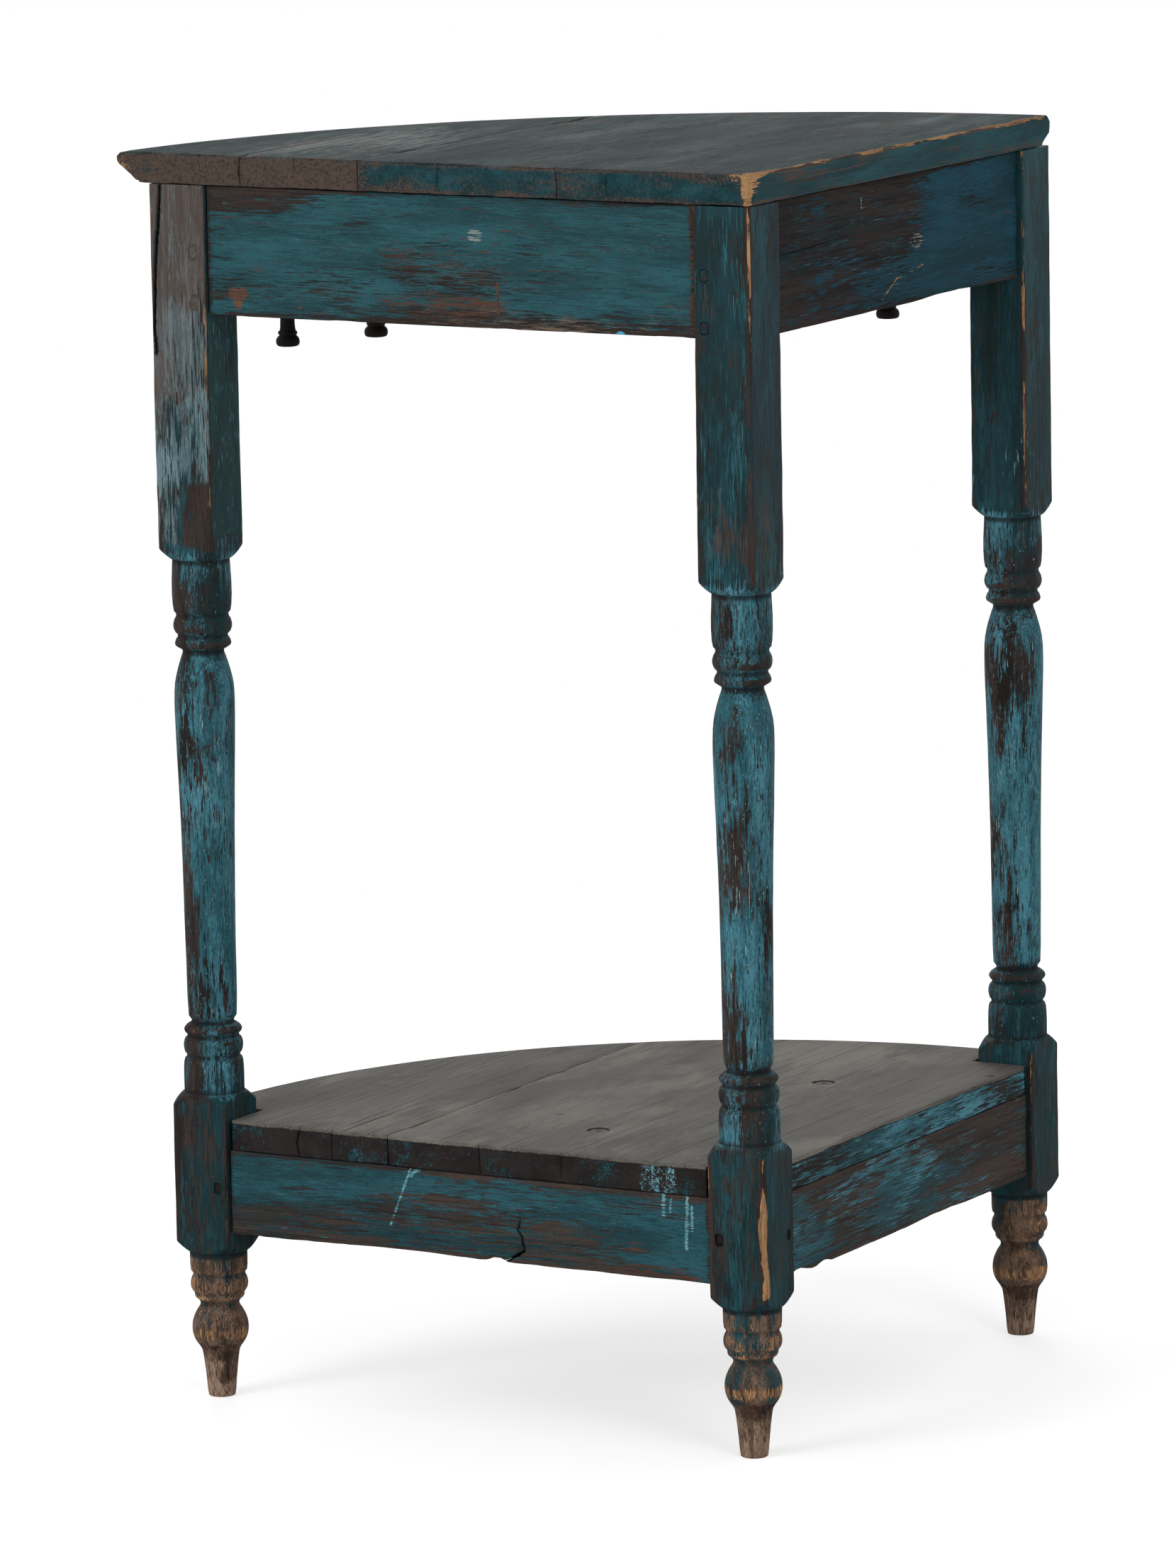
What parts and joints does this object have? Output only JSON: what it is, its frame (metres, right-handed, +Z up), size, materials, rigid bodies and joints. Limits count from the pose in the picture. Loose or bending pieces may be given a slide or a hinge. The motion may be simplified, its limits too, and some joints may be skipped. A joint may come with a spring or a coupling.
{
  "type": "corner washstand",
  "caption": "Quarter-round corner stand on turned square-blocked legs, with a top, pinned rails, a row of turned drops and a low shelf.",
  "frame": {"origin": "centre of the bounding box at floor level", "axes": "+Z up. The corner leg stands at +X +Y, the right wall runs towards -Y from it and the left wall towards -X, and the curved front faces -X -Y."},
  "size_m": [0.389, 0.428, 0.76],
  "materials": {
    "painted_leg": "worn turquoise paint over dark wood",
    "painted_rail": "worn dark teal paint",
    "painted_top": "rubbed slate blue paint",
    "worn_shelf": "grey brown bare wood",
    "pin_wood": "dark end grain",
    "dark_drop": "dark brown stained wood"
  },
  "bodies": {
    "root": {"leg_corner": "painted_leg", "leg_right": "painted_leg", "leg_left": "painted_leg", "upper_rail_right": "painted_rail", "upper_rail_left": "painted_rail", "upper_rail_front": "painted_rail", "lower_rail_right": "painted_rail", "lower_rail_left": "painted_rail", "lower_rail_front": "painted_rail", "top_board_back": "painted_top", "top_board_front": "painted_top", "shelf_board_back": "worn_shelf", "shelf_board_front": "worn_shelf", "shelf_plug_1": "worn_shelf", "shelf_plug_2": "worn_shelf", "upper_pin_corner_1": "pin_wood", "upper_pin_corner_2": "pin_wood", "upper_pin_right_1": "pin_wood", "upper_pin_right_2": "pin_wood", "lower_pin_corner_1": "pin_wood", "lower_pin_right_1": "pin_wood", "drop_1": "dark_drop", "drop_2": "dark_drop", "drop_3": "dark_drop", "drop_4": "dark_drop", "drop_5": "dark_drop", "drop_6": "dark_drop", "drop_7": "dark_drop"}
  },
  "joints": []
}
